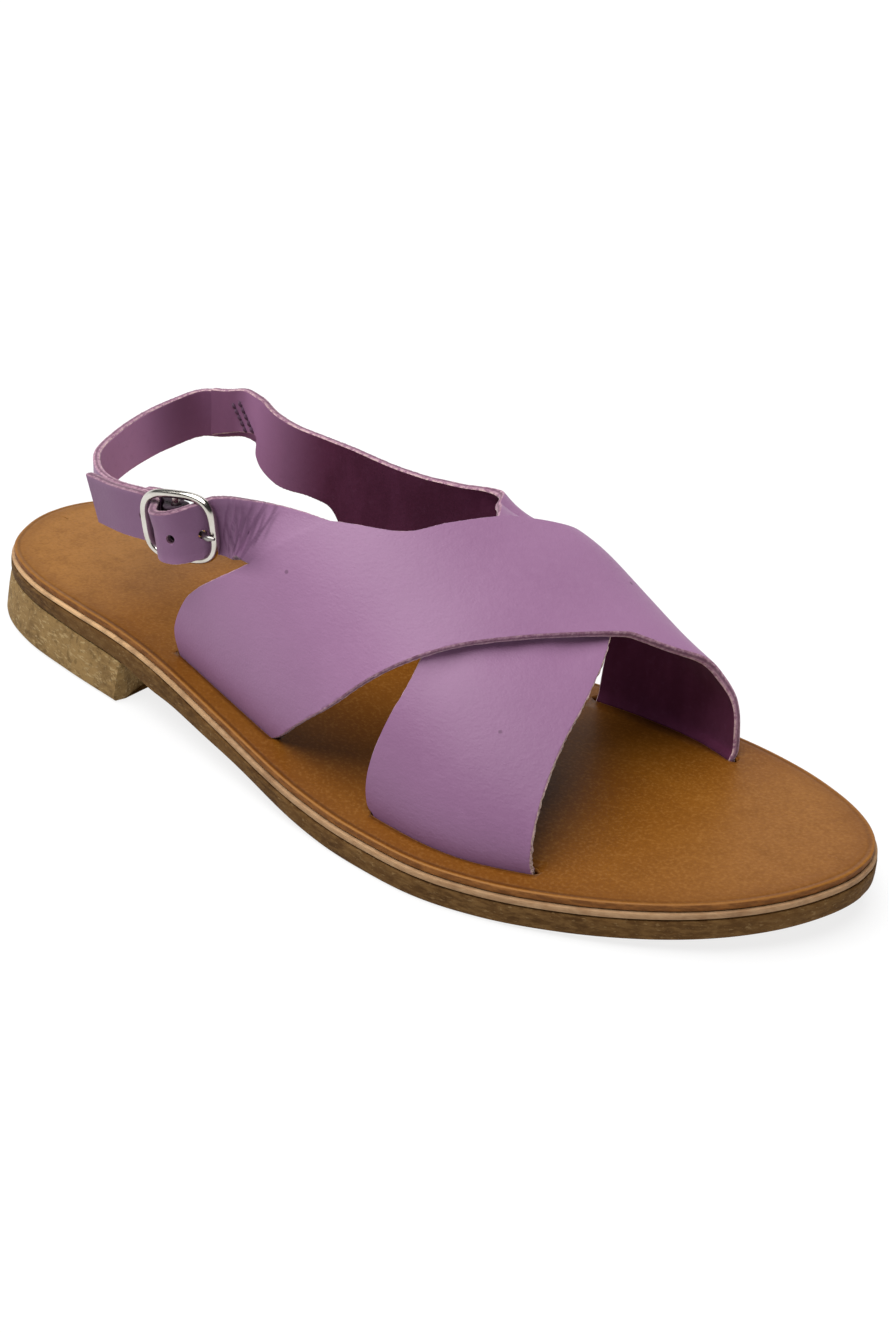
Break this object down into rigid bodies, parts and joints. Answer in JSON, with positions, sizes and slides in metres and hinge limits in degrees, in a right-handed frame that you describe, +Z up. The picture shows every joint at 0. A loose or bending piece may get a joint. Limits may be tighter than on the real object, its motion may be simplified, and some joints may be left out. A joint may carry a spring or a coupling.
{
  "type": "slingback sandal",
  "caption": "Right-foot slingback sandal: crossed leather straps set into a leather insole, buckled heel strap, layered sole and low heel block.",
  "frame": {"origin": "on the floor, under the middle of the shoe's bounding box", "axes": "+X from heel to toe, +Y towards the big toe's side, +Z up from the floor"},
  "size_m": [0.2538, 0.0962, 0.0641],
  "materials": {
    "heel": "raw fibreboard, matt",
    "outsole": "dark fibrous edge, matt",
    "midsole": "raw pale edge, matt",
    "insole": "burnished caramel, half gloss",
    "upper": "lilac grain, raw cut edges",
    "heel_strap": "lilac grain, raw cut edges",
    "buckle_frame": "polished nickel plate",
    "buckle_prong": "polished nickel plate"
  },
  "bodies": {
    "root": {"heel": "heel", "outsole": "outsole", "midsole": "midsole", "insole": "insole", "upper": "upper", "heel_strap": "heel_strap", "buckle_frame": "buckle_frame", "buckle_prong": "buckle_prong"}
  },
  "joints": []
}
